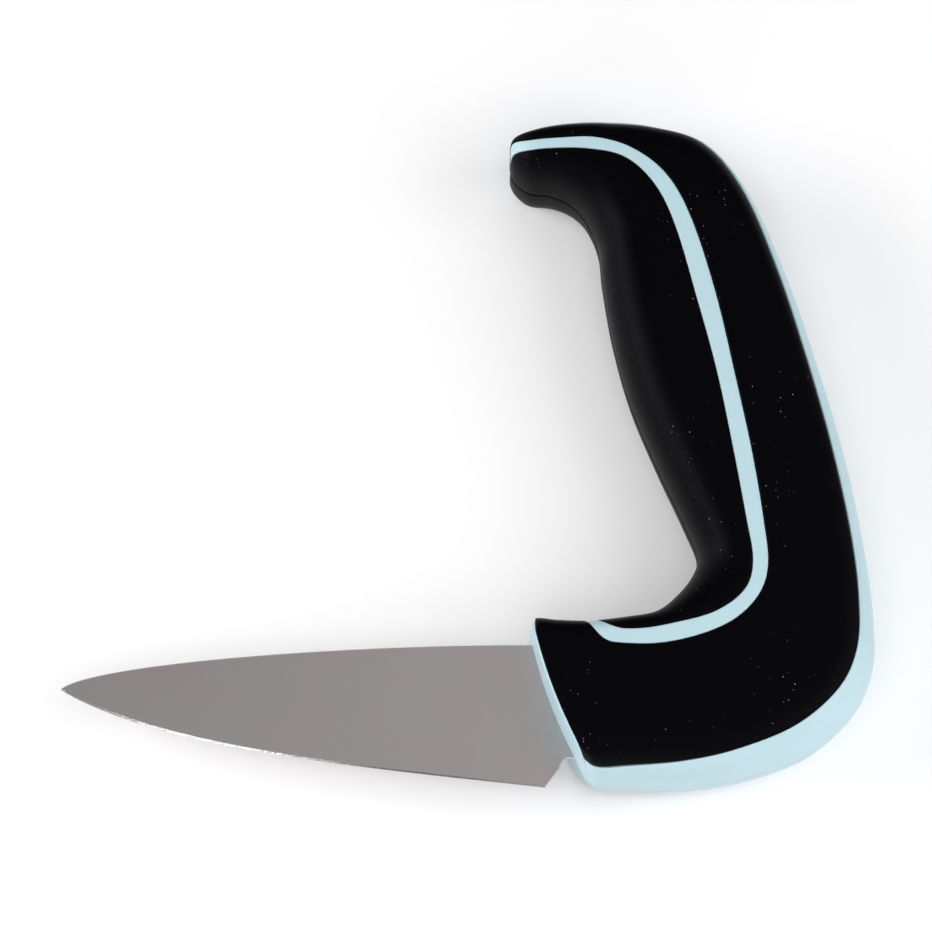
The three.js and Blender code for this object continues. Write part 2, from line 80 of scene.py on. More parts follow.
# %% [markdown]
# ## The handle's form
# The handle is one long sweep. Cross-sections stand in it like the ribs of a boat, from the nose of the
# hook, down the grip and forward along the heel to the front face. Such a form could be sculpted, but
# skins, rib and band all have to lie on exactly the same form, so it is a function that every piece can
# ask. Each cross-section, called a station, has a front and a back point in side view and a rounding at
# each end. Sizes are in millimetres.

# %% Sizes of the handle
HANDLE_THICKNESS = 27
HEEL_HEIGHT = 34.1
FINGER_GAP = 98
HOOK_DEPTH = 14.3
HOOK_REACH = 15.2
BASE_LENGTH = 60.5
FRONT_RAKE = 11.8
THROAT_SETBACK = 4.2
GRIP_LEAN = 19.7
HOOK_ROUND = 4.5
GRIP_ROUND = 11
HEEL_ROUND = 5

HALF = HANDLE_THICKNESS / 2
HOOK_Y = HEEL_HEIGHT + FINGER_GAP
TOP_Y = HOOK_Y + HOOK_DEPTH
GRIP_FOOT = THROAT_SETBACK + GRIP_LEAN


def grip(share):
    """Height at a share of the gap between heel and hook."""
    return HEEL_HEIGHT + share * FINGER_GAP


def lean(share):
    """Front of the grip at a share of its lean."""
    return THROAT_SETBACK + share * GRIP_LEAN


print("handle", BASE_LENGTH, "by", round(TOP_Y, 1), "by", HANDLE_THICKNESS, "mm")

# %% Stations from the hook's nose to the front face
# Front x and y, back x and y, front rounding, edge of the grip pad, edge of the side panel, back band.
STATIONS = np.array([
    [-HOOK_REACH, HOOK_Y + 4.2, -HOOK_REACH, TOP_Y - 5.2, HOOK_ROUND, 0.9, 3.7, 0.7],
    [1.2 - HOOK_REACH, HOOK_Y + 2.1, 1 - HOOK_REACH, TOP_Y - 3.7, HOOK_ROUND, 3.0, 5.7, 0.8],
    [4.1 - HOOK_REACH, HOOK_Y, 4.7 - HOOK_REACH, TOP_Y - 2.3, HOOK_ROUND, 5.0, 7.4, 1.2],
    [9.2 - HOOK_REACH, HOOK_Y - 0.8, -3, TOP_Y - 0.6, HOOK_ROUND + 0.5, 6.3, 8.8, 2.0],
    [THROAT_SETBACK - 5.8, HOOK_Y - 3.2, 6, TOP_Y, HOOK_ROUND + 2, 9.1, 12.1, 2.1],
    [THROAT_SETBACK - 2.6, HOOK_Y - 7.4, 16.8, TOP_Y - 1.1, GRIP_ROUND - 2, 13.2, 15.9, 1.4],
    [THROAT_SETBACK - 0.3, grip(0.859), BASE_LENGTH - 32.6, TOP_Y - 5.1, GRIP_ROUND, 16.0, 19.5, 1.3],
    [lean(0.025), grip(0.779), BASE_LENGTH - 23.6, TOP_Y - 16.5, GRIP_ROUND, 17.7, 21.7, 2.0],
    [lean(0.132), grip(0.643), BASE_LENGTH - 16.1, grip(0.787), GRIP_ROUND, 18.4, 22.7, 2.6],
    [lean(0.315), grip(0.5), BASE_LENGTH - 9.8, grip(0.572), GRIP_ROUND, 18.0, 21.7, 3.1],
    [lean(0.59), grip(0.358), BASE_LENGTH - 4.7, grip(0.363), GRIP_ROUND, 15.3, 19.2, 3.5],
    [lean(0.858), grip(0.235), BASE_LENGTH - 1.4, grip(0.164), GRIP_ROUND, 12.5, 16.3, 3.6],
    [GRIP_FOOT, grip(0.158), BASE_LENGTH, grip(0.015), GRIP_ROUND, 11.5, 14.9, 4.2],
    [GRIP_FOOT - 1.1, grip(0.11), BASE_LENGTH - 0.5, HEEL_HEIGHT - 10, GRIP_ROUND - 1, 11.6, 14.7, 4.9],
    [GRIP_FOOT - 4.7, grip(0.061), BASE_LENGTH - 4.8, HEEL_HEIGHT - 19, GRIP_ROUND - 3, 9.7, 13.5, 5],
    [GRIP_FOOT - 9.5, grip(0.022), BASE_LENGTH - 14.3, HEEL_HEIGHT - 27.3, HEEL_ROUND + 1, 6.2, 10.7, 5],
    [GRIP_FOOT - 15.9, HEEL_HEIGHT + 0.8, BASE_LENGTH - 27.5, 1.9, HEEL_ROUND, 5.3, 9.4, 4.2],
    [12.3 - FRONT_RAKE, HEEL_HEIGHT, 21, 0, HEEL_ROUND, 3.8, 7.4, 3.3],
    [5.8 - FRONT_RAKE, HEEL_HEIGHT + 0.2, 9, 0, HEEL_ROUND, 3.6, 6.2, 2.2],
    [1.3 - FRONT_RAKE, HEEL_HEIGHT + 0.6, 2.6, 0, HEEL_ROUND, 3.6, 6.2, 1.9],
    [0.3 - FRONT_RAKE, HEEL_HEIGHT - 0.6, -0.6, 1.9, HEEL_ROUND, 3.6, 6.2, 1.8],
])
FRONT, BACK, ROUND, PAD_EDGE, PANEL_EDGE, BAND = [0, 1], [2, 3], [4], [5], [6], [7]
LAST = len(STATIONS) - 1
print(LAST + 1, "stations")

# %% [markdown]
# ## Smooth curves through the stations
# A real mould has no steps between its cross-sections. Straight lines between the stations would give
# facets, and one high polynomial would swing. A chain of cubics that keeps its slope from one station to
# the next does neither, and can be asked at any place t along the sweep.

# %% Curves along the sweep
NOSE_ROUND = 6.5
NOSE_STATIONS = 4
BACK_ROUND = 6
MOST_FRONT = 0.42
MOST_BACK = 0.3


def at_station(t, columns):
    """Curve through columns of the stations: between two of them a cubic, which leaves each station with the
    mean slope of its two neighbours."""
    t = np.clip(t, 0, LAST)
    i = np.minimum(t.astype(int), LAST - 1)
    f = (t - i)[..., None]
    p = STATIONS[:, columns]
    before, here, there, after = p[np.maximum(i - 1, 0)], p[i], p[i + 1], p[np.minimum(i + 2, LAST)]
    leave = (there - before) / 2
    arrive = (after - here) / 2
    cubic = 2 * here - 2 * there + leave + arrive
    square = 3 * there - 3 * here - 2 * leave - arrive
    return ((cubic * f + square) * f + leave) * f + here


def sections(t):
    """Front point, direction to the back, width and both roundings at stations t. A rounding takes at most a
    share of the width."""
    front = at_station(t, FRONT)
    along = at_station(t, BACK) - front
    width = np.linalg.norm(along, axis=-1)
    front_round = np.minimum(at_station(t, ROUND)[..., 0], MOST_FRONT * width)
    back_round = np.minimum(BACK_ROUND, MOST_BACK * width)
    return front, along / width[..., None], width, front_round, back_round


def half_thickness(t):
    """Half the thickness: a quarter circle in plan at the nose, and below t = 0 a straight run over the
    nose's flat end to the parting plane."""
    from_end = at_station(t, FRONT)[..., 0] + HOOK_REACH
    left = 1 - np.clip(from_end / NOSE_ROUND, 0, 1)
    rounded = HALF - NOSE_ROUND * (1 - np.sqrt(1 - left * left))
    full = np.where(t > NOSE_STATIONS, HALF, rounded)
    return np.where(t < 0, (HALF - NOSE_ROUND) * (1 + t), full)


print("widths", sections(np.arange(LAST + 1.0))[2].round(1), "mm")

# %% [markdown]
# ## Points of the handle
# A second number, s, goes round one half of a cross-section: from the parting line in front (0) to the flat
# side (1 to 2) and on to the parting line at the back (3). An inset sinks the point below the surface, and
# that one number makes beds, rolled edges and grooves. The real handle's flat side falls off a little
# towards the back, and its front face is a little bowed. Both are in.

# %% Points from t, s and inset
SIDE_FROM, SIDE_TO, BACK_LINE = 1, 2, 3
ROUND_POWER = 2.5
MOST_INSET = 0.9
NOSE_FADE = 3
RIM = 0.35
SAG = 1.9
SAG_WIDTH = 9
SAG_SHARE = 0.35
BOW = 1.15
BOW_HEIGHT = 0.58
BOW_CURVE = 6.4
BOW_STATIONS = 2.5
FRONT_NORMAL = np.array([-HEEL_HEIGHT, -FRONT_RAKE]) / np.hypot(HEEL_HEIGHT, FRONT_RAKE)


def rounding(s):
    """How far a rounding has come at s, in depth and in half thickness: a superellipse."""
    angle = np.clip(np.minimum(s, BACK_LINE - s), 0, 1) * np.pi / 2
    bulge = 1 - np.maximum(np.cos(angle), 0) ** (2 / ROUND_POWER)
    rise = np.where((s >= SIDE_FROM) & (s <= SIDE_TO), 1, np.sin(angle) ** (2 / ROUND_POWER))
    return bulge, rise


def bowed(flat, t, rise):
    """Points in side view, moved along the front face's normal: out by a parabola over its height, back by
    the rim's rounding. Both fade out away from the face."""
    bow = BOW - BOW_CURVE * (flat[..., 1] / HEEL_HEIGHT - BOW_HEIGHT) ** 2
    near = np.clip(1 - (LAST - t) / BOW_STATIONS, 0, 1)
    ease = RIM * np.clip(t - LAST + 1, 0, 1) * rise
    return flat + FRONT_NORMAL * (bow * near * near - ease)[..., None]


def handle_surface(t, s, inset):
    """Points of the right half, sunk by an inset: the roundings stand at both ends of a flat side, measured
    as a distance w behind the front outline. A parabola lets the flat side sag towards the back."""
    t, s, inset = np.broadcast_arrays(t, s, inset)
    front, along, width, front_round, back_round = sections(t)
    half = np.maximum(half_thickness(t) - inset * np.clip(1 + t, 0, 1), 0)
    bulge, rise = rounding(s)
    front_inset = np.minimum(inset, MOST_INSET * front_round)
    back_inset = np.minimum(inset, MOST_INSET * back_round)
    w_front = front_inset + (front_round - front_inset) * bulge
    w_side = front_round + (width - back_round - front_round) * np.clip(s - SIDE_FROM, 0, 1)
    w_back = width - back_inset - (back_round - back_inset) * bulge
    w = np.where(s > SIDE_TO, w_back, np.where(s > SIDE_FROM, w_side, w_front))
    flat = bowed(front + along * w[..., None], t, rise)
    x = flat[..., 0] + inset * np.clip(1 - t / NOSE_FADE, 0, 1)
    reach = np.minimum(SAG_WIDTH, SAG_SHARE * width)
    sag = SAG / HALF * np.clip(1 - (width - w) / reach, 0, 1) ** 2
    return np.stack([x, flat[..., 1], half * rise * (1 - sag)], axis=-1)


middle = np.array(LAST / 2)
print("flat side half way along:", handle_surface(middle, SIDE_FROM, 0).round(1), "mm")

# %% From side view back to s
def across(t, w):
    """The s of points a distance w behind the front outline in side view: the roundings turned round."""
    _, _, width, front_round, back_round = sections(t)

    def turn(share):
        """The angle of the superellipse at a share of its depth, in quarter turns."""
        return np.arccos(np.clip(share, 0, 1) ** (ROUND_POWER / 2)) * 2 / np.pi

    s_front = turn(1 - w / front_round)
    s_side = SIDE_FROM + (w - front_round) / (width - back_round - front_round)
    s_back = BACK_LINE - turn(1 - (width - w) / back_round)
    return np.where(w < front_round, s_front, np.where(w > width - back_round, s_back, s_side))


print("s at", GRIP_ROUND, "mm behind the grip's front:", across(middle, GRIP_ROUND).round(2))

# %% [markdown]
# ## From grids to meshes
# Each piece is a grid of points, rows by columns, and each quad joins four neighbours. Every row is the
# outline of the piece cut across, joined end to end, and a strip between the two halves of a row closes the
# grid's ends. Points that fall together, as at the rounded end of a skin, are merged. A filling modifier
# could close the holes too, but this way the faces stay even.

# %% Quads of a grid
def grid_quads(rows, columns):
    """Corner numbers of the quads between neighbouring rows and columns, with a last strip to column 0."""
    i, j = np.meshgrid(np.arange(rows - 1), np.arange(columns), indexing="ij")
    k = (j + 1) % columns
    corners = [i * columns + j, i * columns + k, (i + 1) * columns + k, (i + 1) * columns + j]
    return np.stack(corners, axis=-1).reshape(-1, 4)


def end_quads(row, columns):
    """Quads that close one row, between column j and the column that is as far from the row's end."""
    j = np.arange(columns // 2 - 1)
    far = columns - 1 - j
    return row * columns + np.stack([j, j + 1, far - 1, far], axis=-1)


def closed_quads(rows, columns):
    """All quads of a grid that is closed at its first and last row."""
    ends = [end_quads(0, columns), end_quads(rows - 1, columns)]
    return np.concatenate([grid_quads(rows, columns), *ends])


print("a grid of 2 by 4 has", len(closed_quads(2, 4)), "quads")

# %% A finished piece
BLADE_LENGTH = 101
HEEL_SETBACK = 8.5
MERGE = 2e-7
SHARP_ANGLE = np.radians(35)
OTHER_SIDE = np.array([1, 1, -1])

blade_low, blade_high = [np.array(corner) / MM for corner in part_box("blade")]
blade_middle = (blade_low[2] + blade_high[2]) / 2
ORIGIN = np.array([blade_low[0] + BLADE_LENGTH + HEEL_SETBACK, blade_low[1], blade_middle])


def close_body(mesh):
    """Merges points that fall together and turns all faces outwards: a body whose signed volume, the sum of
    the wedges under its faces, is negative is inside out."""
    work = bmesh.new()
    work.from_mesh(mesh)
    bmesh.ops.remove_doubles(work, verts=work.verts, dist=MERGE)
    bmesh.ops.recalc_face_normals(work, faces=work.faces)
    if work.calc_volume(signed=True) < 0:
        bmesh.ops.reverse_faces(work, faces=work.faces)
    work.to_mesh(mesh)
    work.free()


def make_piece(name, points, quads, finishes, face_finish=None, mirrored=False, sharp=SHARP_ANGLE):
    """A mesh object from points in millimetres, moved by the knife's origin, and quads. It rides on the
    knife's one body and stands for the solid of the same name."""
    points = points.reshape(-1, 3)
    if mirrored:
        points = points * OTHER_SIDE
    mesh = bpy.data.meshes.new(name)
    mesh.from_pydata(((points + ORIGIN) * MM).tolist(), [], quads.tolist())
    for finish in finishes:
        mesh.materials.append(finish)
    if face_finish is not None:
        mesh.polygons.foreach_set("material_index", face_finish)
    close_body(mesh)
    mesh.shade_smooth()
    mesh.set_sharp_from_angle(angle=sharp)
    piece = bpy.data.objects.new(name, mesh)
    bpy.context.collection.objects.link(piece)
    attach(piece, "root")
    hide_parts(name)
    print(name, len(mesh.vertices), "points,", len(mesh.polygons), "faces")


print("sizes start at", ORIGIN.round(2), "mm")

# %% [markdown]
# ## Colours and nodes
# A finish is a small network of nodes. It could be drawn in the editor, but a script can be run again. One
# helper sets or links the inputs of a node, and one adds a node with its settings. Colours in hex are
# turned into the linear light that the renderer works with. Pattern sizes are in real millimetres.

# %% Colour and node helpers
TOE, TOE_SLOPE = 0.04045, 12.92
SRGB_LIFT, SRGB_POWER = 0.055, 2.4
NOISE, RAMP, MIX, BUMP = "ShaderNodeTexNoise", "ShaderNodeMapRange", "ShaderNodeMix", "ShaderNodeBump"
# The Mix node has several sockets of one name, so its colour ones go by number.
SHARE, FIRST, SECOND = 0, 6, 7


def linear(hex_colour):
    """sRGB hex to linear red, green, blue and alpha: a straight toe, then a power curve."""
    srgb = np.array([int(hex_colour[i:i + 2], 16) for i in (1, 3, 5)]) / 255
    curve = ((srgb + SRGB_LIFT) / (1 + SRGB_LIFT)) ** SRGB_POWER
    return (*np.where(srgb <= TOE, srgb / TOE_SLOPE, curve).tolist(), 1.0)


def set_inputs(node, inputs):
    """Gives inputs of a node, by name or number, a value or a link. Another node stands for its first output
    in use."""
    for key, value in inputs.items():
        if isinstance(value, bpy.types.Node):
            value = next(output for output in value.outputs if output.enabled)
        if isinstance(value, bpy.types.NodeSocket):
            node.id_data.links.new(value, node.inputs[key])
        else:
            node.inputs[key].default_value = value


def add_node(material, kind, inputs=None, **settings):
    """Adds a node of a kind, with its settings and its inputs."""
    node = material.node_tree.nodes.new(kind)
    for name, value in settings.items():
        setattr(node, name, value)
    set_inputs(node, inputs or {})
    return node


def new_finish(name):
    """An empty material with its surface shader and its Object coordinates."""
    material = bpy.data.materials.new(name)
    material.use_nodes = True
    shader = material.node_tree.nodes["Principled BSDF"]
    place = add_node(material, "ShaderNodeTexCoord").outputs["Object"]
    print("finish:", name)
    return material, shader, place


def per_mm(size):
    """Texture scale for features of a size in millimetres: one over that size in metres."""
    return 1 / (size * MM)


print("mid grey is", round(linear("#808080")[0], 3), "in linear light")

# %% [markdown]
# ## Rubber for the skins
# The skins are thermoplastic rubber, moulded over the core in a mould that was eroded matt. The eye gets a
# dull black, a soft grey sheen where an edge rolls away, and dust that clings in patches. A picture of
# rubber could be wrapped on, but it would bring its own light, so noise of a real size is chosen. In a
# pattern of cells, a speck of dust shows where the middle of a cell lies close to the surface, fainter or
# brighter by chance, and only in the patches.

# %% Thermoplastic rubber, moulded matt
def moulded_rubber():
    """Black rubber: bump from fine noise, roughness from a slow cloud, and dust as the product of specks, a
    chance for each cell, and patches."""
    material, shader, place = new_finish("thermoplastic_rubber_moulded")
    # The mould's grain is about 0.1 mm. It is drawn coarser, so that it shows.
    grain_size, grain_depth, grain_strength = 0.35, 0.05, 0.25
    cloud_size, highlight_gone_from, dull_to = 14, 0.44, 0.54
    dust_spacing, speck_edge, speck_full, chance_from = 1.2, 0.11, 0.055, 0.3
    patch_size, patch_from, patch_to = 14, 0.5, 0.64
    grain, cloud, patch = [
        add_node(material, NOISE, {"Vector": place, "Scale": per_mm(size), "Detail": detail})
        for size, detail in ((grain_size, 2), (cloud_size, 3), (patch_size, 1))]
    dust = add_node(material, "ShaderNodeTexVoronoi", {"Vector": place, "Scale": per_mm(dust_spacing)})
    speck = add_node(material, RAMP, {"Value": dust, "From Min": speck_edge, "From Max": speck_full})
    settled = add_node(material, RAMP, {
        "Value": patch, "From Min": patch_from, "From Max": patch_to, "To Max": speck})
    chance = add_node(material, "ShaderNodeSeparateColor", {"Color": dust.outputs["Color"]})
    faint = add_node(material, RAMP, {"Value": chance, "From Min": chance_from, "To Max": settled})
    tint = add_node(material, MIX, {
        SHARE: cloud, FIRST: linear("#010103"), SECOND: linear("#020105")}, data_type="RGBA")
    colour = add_node(material, MIX, {
        SHARE: faint, FIRST: tint, SECOND: linear("#b4b0ae")}, data_type="RGBA")
    dull = add_node(material, RAMP, {"Value": cloud, "To Min": highlight_gone_from, "To Max": dull_to})
    bump = add_node(material, BUMP, {
        "Height": grain, "Strength": grain_strength, "Distance": grain_depth * MM})
    set_inputs(shader, {
        "Base Color": colour, "Roughness": dull, "Normal": bump, "Specular IOR Level": 0.05,
        "Sheen Weight": 0.17, "Sheen Roughness": 0.2, "Sheen Tint": linear("#fff0fa")})
    return material


RUBBER = moulded_rubber()

# %% [markdown]
# ## Plastic for the core
# The core is polypropylene, coloured pale blue, from a lightly blasted mould. It is semi-matt and a little
# waxy: the eye gets broad soft highlights and a trace of the melt's flow. One flat colour would look like
# paper, so two close blues drift into each other over about a centimetre, under a fine grain.

# %% Polypropylene, moulded semi-matt
def moulded_core():
    """Pale blue plastic: the colour follows a slow noise between two blues, and the bump a fine one."""
    material, shader, place = new_finish("polypropylene_moulded")
    # The blasted grain is about 0.1 mm. It is drawn coarser, so that it shows.
    grain_size, grain_depth, grain_strength = 0.3, 0.03, 0.12
    flow_size = 9
    grain, flow = [
        add_node(material, NOISE, {"Vector": place, "Scale": per_mm(size), "Detail": 2})
        for size in (grain_size, flow_size)]
    tint = add_node(material, MIX, {
        SHARE: flow, FIRST: linear("#b4d0d9"), SECOND: linear("#bbd7df")}, data_type="RGBA")
    bump = add_node(material, BUMP, {
        "Height": grain, "Strength": grain_strength, "Distance": grain_depth * MM})
    set_inputs(shader, {"Base Color": tint, "Roughness": 0.42, "IOR": 1.49, "Normal": bump})
    return material


CORE = moulded_core()

# %% [markdown]
# ## Steel for the blade
# The blade is stainless steel, ground flat and then satin finished along its length. The eye gets one broad
# soft reflection of the room, with faint warm and cool clouds and hardly visible lines. Real lines could be
# cut into the mesh, but that takes millions of faces. Noise stretched along the blade, in roughness and
# bump, gives the same light.

# %% Stainless steel, satin ground
def ground_steel():
    """Satin steel: noise stretched along the blade drives roughness and bump, and a slow cloud the tint."""
    material, shader, place = new_finish("stainless_steel_satin")
    # The lines of a satin belt are about 0.05 mm wide. They are drawn coarser, so that they show.
    line_width, line_length, line_depth, line_strength = 0.25, 9, 0.02, 0.06
    satin_from, satin_to = 0.28, 0.36
    cloud_size, cloud_from, cloud_to = 11, 0.35, 0.65
    cloud = add_node(material, NOISE, {"Vector": place, "Scale": per_mm(cloud_size), "Detail": 2})
    stretched = add_node(material, "ShaderNodeMapping", {
        "Vector": place, "Scale": (per_mm(line_length), per_mm(line_width), per_mm(line_width))})
    lines = add_node(material, NOISE, {"Vector": stretched, "Scale": 1, "Detail": 3})
    warm = add_node(material, RAMP, {"Value": cloud, "From Min": cloud_from, "From Max": cloud_to})
    tint = add_node(material, MIX, {
        SHARE: warm, FIRST: linear("#cfc5c4"), SECOND: linear("#cac8c7")}, data_type="RGBA")
    satin = add_node(material, RAMP, {"Value": lines, "To Min": satin_from, "To Max": satin_to})
    bump = add_node(material, BUMP, {
        "Height": lines, "Strength": line_strength, "Distance": line_depth * MM})
    set_inputs(shader, {"Base Color": tint, "Metallic": 1, "Roughness": satin, "Normal": bump})
    return material


STEEL = ground_steel()

# %% [markdown]
# ## The honed edge
# A stone has honed the bevel along the edge. It shows as a thin bright line with fine nicks. Part of its
# brightness is a painted highlight: its colour is bright near the tip and turns darker towards the heel, in
# place of a reflection. A mask over the whole blade would blur that line, so the bevel's own faces get a
# second material.

# %% Stainless steel, honed
def honed_steel():
    """Honed steel: nicks from noise in roughness and bump, and a painted highlight that fades along the
    blade's x.
    """
    material, shader, place = new_finish("stainless_steel_honed")
    # Nicks from use are about 0.1 mm. They are drawn coarser, so that they show.
    nick_size, nick_depth, nick_strength = 0.5, 0.1, 0.5
    shine_from, shine_to = 0.16, 0.32
    highlight_full_to, highlight_gone_from = -0.04, 0.0
    nicks = add_node(material, NOISE, {"Vector": place, "Scale": per_mm(nick_size), "Detail": 3})
    shine = add_node(material, RAMP, {"Value": nicks, "To Min": shine_from, "To Max": shine_to})
    along = add_node(material, "ShaderNodeSeparateXYZ", {"Vector": place})
    painted_highlight = add_node(material, RAMP, {"Value": along, "From Min": highlight_full_to, "From Max": highlight_gone_from})
    # Painted highlight: the bevel's colour goes from bright near the tip to dark at the heel along x.
    tint = add_node(material, MIX, {
        SHARE: painted_highlight, FIRST: linear("#f0eeec"), SECOND: linear("#8f8a88")}, data_type="RGBA")
    bump = add_node(material, BUMP, {
        "Height": nicks, "Strength": nick_strength, "Distance": nick_depth * MM})
    set_inputs(shader, {"Base Color": tint, "Metallic": 1, "Roughness": shine, "Normal": bump})
    return material


HONED = honed_steel()

# %% [markdown]
# ## Edges of the skins
# Each skin lies on the core in a shallow bed, and the blue rib shows between two skins. Over the heel's top
# the rib sweeps up to the parting line, and both skins turn with it. Cutting the skins out of the handle
# would leave ragged edges. Instead, curves run along each skin, and near an edge a family of them, each a
# little further in, carries the edge's profile.

# %% Rows down the sweep
STRIPE_TURN = 0.45
NOSE_BEND = 2
NOSE_ROWS, BEND_ROWS, BODY_ROWS, TURN_ROWS = 9, 16, 150, 40


def quarter_turn(t, end, length, power=2):
    """1 up to the start of a quarter-round turn, then down to 0 at its end. A higher power squares it."""
    past = np.clip((t - end + length) / length, 0, 1)
    return (1 - past**power) ** (1 / power)


def sweep_rows(end):
    """Stations from the parting line on the nose to the end of a turn: even steps on the straight, and sine
    steps, which crowd, into the bends."""
    nose = np.linspace(-1, 0, NOSE_ROWS)[:-1]
    bend = NOSE_BEND * np.sin(np.linspace(0, np.pi / 2, BEND_ROWS))[:-1]
    body = np.linspace(NOSE_BEND, end - STRIPE_TURN, BODY_ROWS)[:-1]
    turn = end - STRIPE_TURN + STRIPE_TURN * np.sin(np.linspace(0, np.pi / 2, TURN_ROWS))
    return np.concatenate([nose, bend, body, turn])


print("rows down the sweep:", len(sweep_rows(LAST)))

# %% Edge curves
PAD_END, PAD_POWER = 16.8, 2
PANEL_TURN_END, PANEL_POWER = 17.15, 3.6
PANEL_STOP = 19.95
STATION_MM = 7.5


def edge_curve(columns, end, shift, power, front_rows=None):
    """Stations and s of an edge between skins: the width in the stations' column, moved by a shift away from
    the grip's front, times the turn. Past the turn it runs on along the parting line."""
    end = end + shift / STATION_MM
    t = sweep_rows(end)
    s = across(t, (at_station(t, columns)[..., 0] + shift) * quarter_turn(t, end, STRIPE_TURN, power))
    if front_rows is None:
        return t, s
    on = end + (PANEL_STOP - end) * front_rows
    return np.concatenate([t, on]), np.concatenate([s, 0 * on])


def stacked(curves):
    """Curves side by side as the columns of a grid."""
    return np.stack([t for t, _ in curves], 1), np.stack([s for _, s in curves], 1)


print("the grip pad's edge has", len(edge_curve(PAD_EDGE, PAD_END, 0, PAD_POWER)[0]), "rows")

# %% Rolled edges and closed skins
ROLL = 0.45
ROLL_COLUMNS = 7
BED = 1.0
EDGE_STEPS = ROLL * (1 - np.cos(np.linspace(0, np.pi / 2, ROLL_COLUMNS)))


def rolled(*gaps):
    """Inset at given distances from the rolled edges: a quarter circle, rounded at corners too."""
    short = np.sqrt(sum(np.clip(ROLL - gap, 0, None) ** 2 for gap in gaps))
    return ROLL - np.sqrt(np.clip(ROLL**2 - short**2, 0, None))


def skin_mesh(name, t, s, inset, mirrored):
    """A closed skin from its outer grid: the same grid at the bed's depth, in reverse, closes each row."""
    outer = handle_surface(t, s, inset)
    inner = handle_surface(t, s, BED)
    points = np.concatenate([outer, inner[:, ::-1]], axis=1)
    quads = closed_quads(*points.shape[:2])
    make_piece(name, points, quads, [RUBBER], mirrored=mirrored)


print("a rolled edge falls", rolled(EDGE_STEPS).round(2), "mm")

# %% [markdown]
# ## The grip pads
# The grip pads wrap the front of the grip, where the fingers close. Where the two pads meet at the parting
# line, their rolled edges leave a fine dark groove. A bump could fake it, but the groove also shows in the
# outline, so it is in the mesh: columns crowd towards the parting line, and the inset follows the height
# above the parting plane.

# %% Grip pads
SIDES = (("right", False), ("left", True))
SIDE_COLUMNS = 40
SEAM_CROWD = 2.2
SEAM_SPREAD = 2


def grip_pad(name, mirrored):
    """The skin round the front of the grip: columns spread by a power from the parting line to the rolled
    edge beside the rib."""
    t_edge, s_edge = stacked([edge_curve(PAD_EDGE, PAD_END, -gap, PAD_POWER) for gap in EDGE_STEPS[::-1]])
    t_in, s_in = t_edge[:, :1], s_edge[:, :1]
    crowd = 1 + (SEAM_CROWD - 1) * np.clip(1 + t_in, 0, 1)
    spread = np.linspace(0, 1, SIDE_COLUMNS)[:-1] ** crowd
    t = np.concatenate([np.repeat(t_in, spread.shape[1], 1), t_edge], 1)
    s = np.concatenate([s_in * spread, s_edge], 1)
    gap = np.concatenate([np.full(spread.shape[1], ROLL), EDGE_STEPS[::-1]])
    seam = handle_surface(t, s, 0)[..., 2] / SEAM_SPREAD
    skin_mesh(name, t, s, rolled(gap[None, :], seam), mirrored)


for side, mirrored in SIDES:
    grip_pad("grip_pad_" + side, mirrored)

# %% [markdown]
# ## The side panels
# A side panel covers the flat side from the rib to the core's band, and ends just short of the front face.
# It dips a little towards the band, and over the heel's top it is set back from the face. A flat sheet
# could be wrapped on, but its edges would not meet the rib. So it is built like the pads, with one more
# family of curves along the back edge.

# %% Edges of the side panels
FRONT_ROWS = 26
FRONT_STATION_MM = 1.6
BAND_START, BAND_RISE = 0.4, 1
CORNER = 1.5
CORNER_STATIONS = 0.4


def panel_front():
    """Grid of the panel's front edge, from the edge inwards, with each row's distance from the end near the
    face. Rows too close to it give way to a rolled end."""
    ahead = np.linspace(0, 1, FRONT_ROWS)[1:]
    t_edge, s_edge = stacked([
        edge_curve(PANEL_EDGE, PANEL_TURN_END, gap, PANEL_POWER, ahead) for gap in EDGE_STEPS])
    from_end = np.maximum(PANEL_STOP - t_edge[:, -1], 0) * FRONT_STATION_MM
    keep = from_end > ROLL
    end_t = PANEL_STOP - EDGE_STEPS[::-1] / FRONT_STATION_MM
    end_t = np.repeat(end_t[:, None], ROLL_COLUMNS, 1)
    t = np.concatenate([t_edge[keep], end_t])
    s = np.concatenate([s_edge[keep], 0 * end_t])
    return t, s, np.concatenate([from_end[keep], EDGE_STEPS[::-1]])[:, None]


def band_opening(t):
    """0 on the nose's end, then up to 1 in a quarter turn where the band opens."""
    return quarter_turn(-t, -BAND_START, BAND_RISE)


def band_width(t):
    """Width of the core's band at the back: the stations' value times the opening."""
    return at_station(t, BAND)[..., 0] * band_opening(t)


def panel_back(t, gap):
    """The s a gap inside the panel's back edge: the width less the band and a quarter circle in front."""
    past = np.clip((t - PANEL_STOP) / CORNER_STATIONS + 1, 0, 1)
    return across(t, sections(t)[2] - band_width(t) - gap - CORNER * (1 - np.sqrt(1 - past * past)))


print("a side panel has", len(panel_front()[0]), "rows")

# %% Side panels
DIP = 0.4
DIP_WIDTH = 3.5
DIP_ROOM = 0.6
DIP_COLUMNS = 9
TOP_BACK = 1.0
TOP_FROM = 17.5
TUCK_END = 0.9


def set_back(t, s):
    """Stations drawn back from the front face over the heel's top: a share of the way to the face, times one
    less the square of s, so most at the parting line."""
    share = np.clip((t - TOP_FROM) / (PANEL_STOP - TOP_FROM), 0, 1)
    return t - TOP_BACK * share * (1 - np.clip(s / TUCK_END, 0, 1) ** 2)


